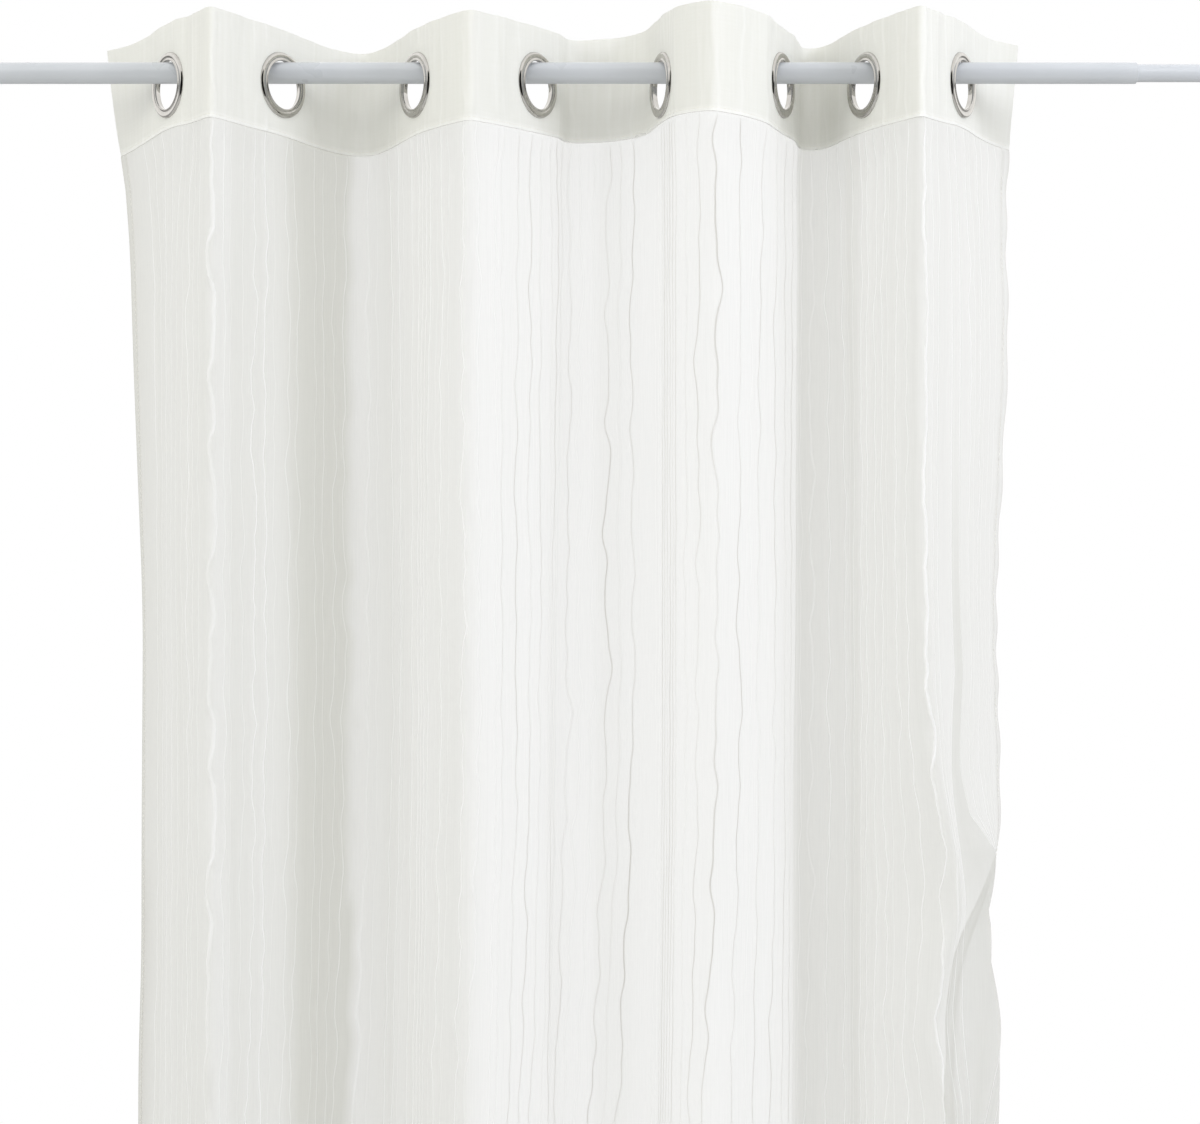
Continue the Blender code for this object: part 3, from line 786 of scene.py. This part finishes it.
band = {
    "thickness": 0.0015,
    "step": 0.0028,
    "columnStep": 0.0014,
    "ridgeWidth": 0.0013,
    "ridgeHeight": 0.0006,
    # painted highlight: edgeRoll is how deep a whiter band is painted along the turned edge at the seam
    "edgeRoll": 0.0030,        # the turned edge at the seam
    "holeRadius": 0.0232,
    "eyeletDrop": 0.0104,
    "flatRadius": 0.029,       # the band lies flat under each eyelet
    "flatEdge": 0.014,         # and bends over this much round that
    "ripple": 0.0007,
    "creaseHeight": 0.0009,
    "creaseWidth": 0.0022,
    "creaseStray": 0.0014,
    # where its creases are, and how strong
    "creases": [
        (0.1775, 0.9), (0.208, 0.4), (0.300, 0.35), (0.352, 0.5), (0.470, 0.3), (0.5265, 0.8),
        (0.556, 0.5), (0.640, 0.3), (0.705, 0.35), (0.770, 0.4), (0.868, 0.9), (0.905, 0.5),
        (0.985, 0.3), (1.052, 0.5), (1.130, 0.3), (1.228, 0.9), (1.255, 0.4), (1.340, 0.4),
    ],
}


def eyeletCentres():
    return cloth["eyeletPitch"] * (np.arange(len(cloth["eyelets"])) + 0.5)


def makeHeading(material):
    high = cloth["headingHeight"]
    columns, rows = int(cloth["width"] / band["columnStep"]), int(high / band["step"])
    across, down = np.linspace(0, cloth["width"], columns + 1), np.linspace(0, high, rows + 1)
    for line in (across, down):      # the edges are turned tightly
        line[1], line[-2] = line[0] + 0.0004, line[-1] - 0.0004
    across, down = np.meshgrid(across, down)
    tops = topHeights(across)

    # the points next to each hole move onto its circle, and the cells inside it go
    centres = eyeletCentres()
    nearest = centres[np.abs(across[..., None] - centres).argmin(axis=2)]
    dx, dy = across - nearest, down - band["eyeletDrop"] - tops
    reach = np.hypot(dx, dy)
    close = np.abs(reach - band["holeRadius"]) < 0.5 * band["step"]
    scale = np.where(close, band["holeRadius"] / np.maximum(reach, 1e-9), 1)
    across, down = nearest + dx * scale, down + dy * (scale - 1)
    inside = (reach < band["holeRadius"]) & ~close

    drops = down[:, 0] - high
    places = clothPlaces(drops, across)
    away = smoothStep(band["flatRadius"], band["flatRadius"] + band["flatEdge"], reach)
    ripple = np.sin(across / 0.0061 + 1.5 * np.sin(down / 0.03)) * np.sin(across / 0.037 + 2)
    ripple = ripple * band["ripple"]
    for place, force in band["creases"]:
        bent = place + band["creaseStray"] * np.sin(down / 0.011 + 40 * place)
        ripple += band["creaseHeight"] * force * np.exp(-((across - bent) / band["creaseWidth"]) ** 2)
    ridges, strength = crinkleRows(drops)
    ridge = np.zeros_like(across)
    for line, force in zip(ridges.T, strength.T):
        ridge += force[:, None] * np.exp(-((across - line[:, None]) / band["ridgeWidth"]) ** 2)
    calm = 1 - smoothStep(high - 0.014, high - 0.003, down)
    places += facing(places) * (away * (calm * ripple + band["ridgeHeight"] * ridge))[..., None]
    # painted highlight: the turned lower edge and the crinkles' ridges are drawn whiter, as lit
    rolled = smoothStep(high - band["edgeRoll"], high - 0.4 * band["edgeRoll"], down)
    light = np.clip(0.5 * ridge * away + 0.8 * rolled, 0, 1)
    points = np.concatenate([places, (tops - down)[..., None]], axis=2)

    faces = gridFaces(rows + 1, columns + 1)
    faces = faces[~inside.ravel()[faces].any(axis=1)]
    used, faces = np.unique(faces, return_inverse=True)
    points, light = points.reshape(-1, 3)[used], {"light": light.ravel()[used]}
    uv = np.stack([across, -down], axis=2).reshape(-1, 2)[used]
    piece = meshPiece("heading_band", points, faces.reshape(-1, 4), material, light, across=uv)
    wall = piece.modifiers.new("wall", "SOLIDIFY")
    wall.thickness = band["thickness"]
    wall.offset = 0
    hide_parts("heading")
    print("heading band:", len(piece.data.polygons), "cells")
    return piece


# the stitches along the heading's lower edge and the side hems

stitch = {
    "pitch": 0.0034,
    "long": 0.0026,
    "radius": 0.00028,
    "aboveSeam": 0.0030,
    "hemIn": 0.0085,
    "hemPitch": 1.3,           # the side hems' stitches are this much farther apart
    "endGap": 0.004,
    "sides": 6,
    "rings": 5,
}


def stitchShape():
    # a spindle: circles whose radius is the sine of the way along it
    along = np.linspace(0, math.pi, stitch["rings"])
    radius = np.maximum(np.sin(along), 0.12)
    angle = 2 * math.pi * np.arange(stitch["sides"]) / stitch["sides"]
    x = np.repeat(-np.cos(along) / 2, stitch["sides"])
    y = (radius[:, None] * np.cos(angle)).ravel()
    z = (radius[:, None] * np.sin(angle)).ravel()
    return np.column_stack([x, y, z])


def stitchRow(name, centres, ways, outs, material):
    # one spindle at each centre, laid along its way and lifted out of the cloth
    sides, shape = stitch["sides"], stitchShape()
    local = (shape * [stitch["long"], stitch["radius"], stitch["radius"]])[None, :, :, None]
    axes = np.stack([ways, outs, np.cross(ways, outs)], axis=1)[:, None]
    points = centres[:, None] + (local * axes).sum(axis=2)
    starts = len(shape) * np.arange(len(centres))[:, None, None]
    cells = gridFaces(stitch["rings"], sides, closed=True) + starts
    first = np.arange(sides)
    ends = np.stack([first, len(shape) - 1 - first]) + starts
    faces = cells.reshape(-1, 4).tolist() + ends.reshape(-1, sides).tolist()
    return meshPiece(name, points, faces, material)


def seamStitches(material):
    across = np.arange(stitch["endGap"], cloth["width"] - stitch["endGap"], stitch["pitch"])
    places = clothPlaces(np.array([-stitch["aboveSeam"]]), across[None, :])[0]
    heights = topHeights(across) - cloth["headingHeight"] + stitch["aboveSeam"]
    centres = np.column_stack([places, heights])
    ways = unit(np.gradient(centres, axis=0))
    outs = unit(np.column_stack([ways[:, 1], -ways[:, 0], 0 * across]))
    lift = band["thickness"] / 2 + 0.3 * stitch["radius"]
    both = np.concatenate([centres + lift * outs, centres - lift * outs])
    piece = stitchRow("seam_stitches", both, np.tile(ways, (2, 1)), np.tile(outs, (2, 1)), material)
    print("seam stitches:", 2 * len(across))
    return piece


def hemStitches(material):
    below = cloth["length"] - cloth["headingHeight"]
    drops = np.arange(stitch["endGap"], below - stitch["endGap"], stitch["hemPitch"] * stitch["pitch"])
    lift = panel["hemRise"] + 0.5 * stitch["radius"]
    centres, outs = [], []
    for across in (stitch["hemIn"], cloth["width"] - stitch["hemIn"]):
        beside = np.tile([across - 0.002, across + 0.002], (len(drops), 1))
        near = clothPlaces(drops, beside)
        way = unit(near[:, 1] - near[:, 0])
        heights = topHeights(np.full_like(drops, across)) - cloth["headingHeight"] - drops
        centres.append(np.column_stack([near.mean(axis=1), heights]))
        outs.append(np.column_stack([way[:, 1], -way[:, 0], 0 * drops]))
    centres, outs = np.concatenate(centres), np.concatenate(outs)
    ways = np.tile([0.0, 0.0, 1.0], (len(centres), 1))
    piece = stitchRow("hem_stitches", centres + lift * outs, ways, outs, material)
    print("hem stitches:", len(centres))
    return piece


# the eyelets

ring = {
    "throat": 0.0202,
    "barrel": 0.0214,
    "radius": 0.0278,
    "halfDepth": 0.0030,
    "clothHalf": 0.0011,
    "innerRoll": 0.0009,
    "faceFrom": 8,             # the face from the rim inwards, as arcs of a radius up to an angle
    "faceArcs": [(0.0030, 52), (0.0006, 84), (0.0090, 99), (0.0024, 128)],
    "turns": 120,
    "arcSteps": 7,
}


def arcPoints(centre, radii, start, end, steps):
    # points of an ellipse's arc: its centre plus the radii times the cosine and sine of the angle
    angle = np.radians(np.linspace(start, end, steps))
    return np.column_stack([centre[0] + radii[0] * np.cos(angle), centre[1] + radii[1] * np.sin(angle)])


def ringProfile():
    # (radius, across): up over a tight inner roll, down into a sharp groove, out over the bevelled face
    # to the seat of the cloth, then the curled washer on the back and up the barrel, which is wider
    # than the lip, to the lip again
    steps = ring["arcSteps"]
    seat, depth, roll = ring["clothHalf"], ring["halfDepth"], ring["innerRoll"]
    barrel, rim = ring["barrel"], ring["radius"]
    face, angle = [np.array([[rim, seat - 0.0003]])], ring["faceFrom"]
    for radius, end in ring["faceArcs"]:      # each arc goes on from the last one's end
        arc = arcPoints((0, 0), (radius, radius), angle, end, steps)
        face.append(face[-1][-1] + arc[1:] - arc[0])
        angle = end
    front = [
        arcPoints((ring["throat"] + roll, depth - roll), (roll, roll), 215, 30, 2 * steps),
        np.concatenate(face)[::-1],
        np.array([[rim - 0.0004, seat - 0.0003], [barrel + 0.0006, seat - 0.0003]]),
    ]
    washer = rim - 0.0008
    back = [
        np.array([[barrel + 0.0006, -seat], [washer - 0.0002, -seat], [washer, -seat - 0.0003]]),
        arcPoints((washer - 0.0010, -seat - 0.0004), (0.0010, 0.0008), -10, -90, steps),
        np.array([[barrel + 0.0024, -seat - 0.0010]]),
        arcPoints((barrel + 0.0010, -seat - 0.0008), (0.0010, 0.0009), -40, -180, 2 * steps),
    ]
    return np.concatenate(front + back)


def makeEyelets(material):
    # the profile turned round the eyelet's own axis, which lies across the cloth there
    profile = ringProfile()
    angle = 2 * math.pi * np.arange(ring["turns"]) / ring["turns"]
    count = len(profile)
    first = gridFaces(ring["turns"] + 1, count, closed=True) % (ring["turns"] * count)
    faces = first[:, ::-1]
    for number in range(len(cloth["eyelets"])):
        centre, way = crossingRows(number, np.zeros(1))
        out = np.array([way[0, 1], -way[0, 0], 0])
        side = np.array([way[0, 0], way[0, 1], 0])
        middle = np.array([centre[0, 0], centre[0, 1], -band["eyeletDrop"]])
        spoke = np.cos(angle)[:, None] * np.array([0, 0, 1.0]) + np.sin(angle)[:, None] * side
        points = middle + profile[None, :, :1] * spoke[:, None, :] + profile[None, :, 1:] * out
        piece = meshPiece(f"ring_{number + 1}", points, faces, material)
        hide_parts(f"eyelet_{number + 1}")
    print("eyelets:", len(cloth["eyelets"]), "rings of", len(faces), "cells")


# the rod

rod = {
    "outerRadius": 0.0090,
    "outerBore": 0.0081,
    "lipBore": 0.0078,
    "outerLeft": -0.594,
    "outerRight": 0.456,
    "innerRadius": 0.0075,
    "innerBore": 0.0067,
    "innerLeft": -0.366,
    "innerRight": 0.594,
    "edge": 0.0003,            # the tubes' ends are broken by this
    "lipRoll": 0.0011,
    "capDepth": 0.0057,
    "capRound": 0.0012,
    "capGap": 0.0003,
    "plug": 0.014,
    "turns": 72,
}


def turnAlongRod(name, profile, material, body, flip=False):
    # a profile of (place along the rod, radius) turned once round the rod's axis
    profile = np.asarray(profile, float)
    angle = 2 * math.pi * np.arange(rod["turns"]) / rod["turns"]
    x = np.broadcast_to(profile[:, 0], (rod["turns"], len(profile)))
    y = np.cos(angle)[:, None] * profile[:, 1]
    z = np.sin(angle)[:, None] * profile[:, 1]
    faces = gridFaces(rod["turns"] + 1, len(profile), closed=True) % (rod["turns"] * len(profile))
    if flip:
        faces = faces[:, ::-1]
    return meshPiece(name, np.stack([x, y, z], axis=2), faces, material, body=body)


def makeRod(enamel, plastic):
    left, right = rod["outerLeft"], rod["outerRight"]
    wall, bore = rod["outerRadius"], rod["outerBore"]
    edge, lip, gap, plug = rod["edge"], rod["lipRoll"], rod["capGap"], rod["plug"]
    outer = [(left, bore), (left, wall - 0.0001), (left + edge, wall),
             *arcPoints((right - lip, wall - lip), (lip, lip), 90, -75, 12),
             (right - 0.0026, rod["lipBore"]), (right - 0.0032, bore)]
    start, end = rod["innerLeft"], rod["innerRight"]
    thin, thinBore = rod["innerRadius"], rod["innerBore"]
    inner = [(start, thinBore), (start, thin - edge), (start + edge, thin),
             (end - edge, thin), (end, thin - edge), (end, thinBore)]
    for name, node, profile, body in (("tube_wide", "rod_outer", outer, "curtain"),
                                      ("tube_thin", "rod_inner", inner, "inner_tube")):
        piece = turnAlongRod(name, profile, enamel, body)
        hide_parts(node)
    turned, deep = rod["capRound"], rod["capDepth"]
    for name, node, side, start, hole, body in (
            ("cap_left", "rod_cap_left", -1, left, bore, "curtain"),
            ("cap_right", "rod_cap_right", 1, end, thinBore, "inner_tube")):
        shape = [(-plug, 0.0001), (-plug, hole - 0.0009), (-plug + 0.0006, hole - gap), (0, hole - gap),
                 (0, wall - 0.0002), (0.0002, wall),
                 *arcPoints((deep - turned, wall - turned), (turned, turned), 90, 0, 8), (deep, 0.0001)]
        profile = [(start + side * (gap + x), radius) for x, radius in shape]
        piece = turnAlongRod(name, profile, plastic, body, flip=side < 0)
        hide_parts(node)
    print("rod: two tubes and two caps")


# floor, light and camera

def makeFloor():
    # Matt floor paint: a pale grey disc, faintly clouded.
    mesh = bpy.data.meshes.new("floor")
    angle = np.linspace(0, 2 * math.pi, 64, endpoint=False)
    x, y = studio["floorRadius"] * np.cos(angle), studio["floorRadius"] * np.sin(angle)
    corners = np.column_stack([x, y, np.full_like(x, -studio["floorBelow"])])
    mesh.from_pydata(corners.tolist(), [], [list(range(len(corners)))])
    floor = newObject("floor", mesh)
    material, tree = newMaterial("painted_floor_matt")
    place = metres(tree)
    colour = blend(tree, noise(tree, place, 6.0, 2.0), "e4e4e2", "e8e8e6")
    mesh.materials.append(finished(material, tree, principled(tree, colour, 0.8)))


def background(tree, colour, strength):
    inputs = {"Color": colour, "Strength": strength}
    return addNode(tree, "ShaderNodeBackground", inputs).outputs["Background"]


def makeWorld():
    # a bright empty set: plain white where it is looked at, graded from floor to ceiling as light,
    # and with darker parts where the metal mirrors it
    world = bpy.data.worlds.new("studio")
    bpy.context.scene.world = world
    world.use_nodes = True
    tree = world.node_tree
    tree.nodes.clear()
    way = addNode(tree, "ShaderNodeTexCoord").outputs["Generated"]
    split = addNode(tree, "ShaderNodeSeparateXYZ", {"Vector": way})
    height = scaled(tree, split.outputs["Z"], 0.5, 0.5)
    colours = []
    for name in ("surround", "mirrored"):
        ramp = addNode(tree, "ShaderNodeValToRGB", {"Fac": height})
        stops = ramp.color_ramp.elements
        while len(stops) < len(studio[name]):
            stops.new(0.5)
        for stop, (at, level) in zip(stops, studio[name]):
            stop.position = at
            stop.color = (*(level * part for part in studio[name + "Tint"]), 1)
        colours.append(ramp.outputs["Color"])
    (low, high), (outside, inside) = studio["darkEdge"], studio["darkLevels"]
    inputs = {0: way, 1: studio["darkSide"]}
    corner = addNode(tree, "ShaderNodeVectorMath", inputs, operation="DOT_PRODUCT")
    inputs = {"Value": corner.outputs["Value"], "From Min": low, "From Max": high,
              "To Min": outside, "To Max": inside}
    shade = addNode(tree, "ShaderNodeMapRange", inputs, interpolation_type="SMOOTHSTEP")
    lit = background(tree, colours[0], 1.0)
    mirrored = background(tree, colours[1], shade.outputs["Result"])
    plain = background(tree, (1, 1, 1, 1), studio["backdrop"])
    rays = addNode(tree, "ShaderNodeLightPath")
    unseen = mixed(tree, rays.outputs["Is Glossy Ray"], lit, mirrored)
    seen = mixed(tree, rays.outputs["Is Camera Ray"], unseen, plain)
    addNode(tree, "ShaderNodeOutputWorld", {"Surface": seen})


def makeLamp(name, place, size, power, colour, aim=(0, 0, -0.2)):
    lamp = bpy.data.lights.new(name, "AREA")
    lamp.shape = "RECTANGLE"
    lamp.size, lamp.size_y = size
    lamp.energy = power
    lamp.color = linear(colour)
    holder = newObject(name, lamp)
    holder.location = place
    holder.rotation_euler = (Vector(aim) - Vector(place)).to_track_quat("-Z", "Y").to_euler()
    holder.visible_camera = False
    holder.visible_glossy = False      # the metal mirrors the set instead


def makeCamera():
    data = bpy.data.cameras.new("camera")
    data.lens = view["lens"]
    data.sensor_width = 36
    camera = newObject("camera", data)
    camera.location = (0, -view["distance"], -view["below"])
    camera.rotation_euler = (math.pi / 2, 0, 0)
    bpy.context.scene.camera = camera


def main():
    makeCamera()
    makeFloor()
    makeWorld()
    for lamp in studio["lamps"]:
        makeLamp(**lamp)
    bpy.context.scene.view_settings.view_transform = "Standard"
    thread = threadMaterial()
    voile = makePanel(voileMaterial())
    heading = makeHeading(headingMaterial())
    seam = seamStitches(thread)
    hem = hemStitches(thread)
    makeEyelets(nickelMaterial())
    makeRod(enamelMaterial(), capMaterial())


main()
